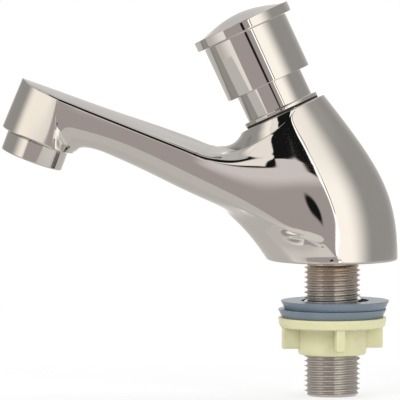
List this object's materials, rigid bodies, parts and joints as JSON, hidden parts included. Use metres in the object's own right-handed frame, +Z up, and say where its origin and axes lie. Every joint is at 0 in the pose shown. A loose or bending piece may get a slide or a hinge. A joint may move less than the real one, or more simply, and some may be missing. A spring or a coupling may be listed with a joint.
{
  "type": "push timed tap",
  "caption": "Self-closing basin tap: a leaning push button over a timing cartridge, a fixed tapered spout with an outlet ring, and a threaded tail with washers and a back nut.",
  "frame": {"origin": "on the tail pipe's axis at the base's underside, where the tap sits on the deck", "axes": "+Z up along the tail pipe's axis, spout along -X, symmetric about Y = 0"},
  "size_m": [0.1472, 0.0488, 0.1454],
  "materials": {
    "chrome": "polished chrome plate",
    "nickel": "nickel-plated, machined thread",
    "steel": "bright stainless",
    "brass": "turned brass",
    "black_rubber": "matt rubber",
    "fibre": "red fibre sheet",
    "white_plastic": "moulded acetal",
    "washer_grey": "smooth blue-grey rubber",
    "nut_cream": "moulded pale yellow-green plastic"
  },
  "bodies": {
    "tap": {"body_casting": "chrome", "threaded_shank": "nickel", "shank_gasket": "fibre", "bonnet": "chrome", "bonnet_gasket": "black_rubber", "guide_bush": "white_plastic", "spindle_o_ring": "black_rubber", "return_spring": "steel", "metering_pin": "steel", "valve_cage": "white_plastic", "valve_seat": "brass", "seat_gasket": "fibre", "aerator_housing": "chrome", "aerator_washer": "black_rubber", "aerator_insert": "white_plastic", "aerator_mesh": "steel"},
    "push_button": {"push_cap": "chrome", "cap_cover": "chrome", "cap_screw": "steel", "spindle": "brass", "timing_piston": "white_plastic", "piston_lip_seal": "black_rubber", "piston_clip": "steel", "valve_washer": "black_rubber", "valve_cup": "brass", "valve_nut": "brass"},
    "deck_washers": {"upper_washer": "washer_grey", "lower_washer": "washer_grey"},
    "wing_nut": {"back_nut": "nut_cream"}
  },
  "joints": [
    {"name": "push_stroke", "type": "slide", "parent": "tap", "child": "push_button", "axis": [0.4226, 0, -0.9063], "range_m": [0, 0.008], "stiffness_N_per_m": 1000, "springref_m": -0.015, "deforming": ["return_spring"]},
    {"name": "nut_travel", "type": "slide", "parent": "tap", "child": "deck_washers", "axis": [0, 0, 1], "range_m": [-0.0118, 0.0134]},
    {"name": "nut_spin", "type": "hinge", "parent": "deck_washers", "child": "wing_nut", "pos_m": [0, 0, -0.028], "axis": [0, 0, 1], "range_deg": [-2340, 2640]}
  ],
  "couplings": [
    {"joint": "nut_travel", "follows": "nut_spin", "m_per_rad": 0.00028871}
  ]
}
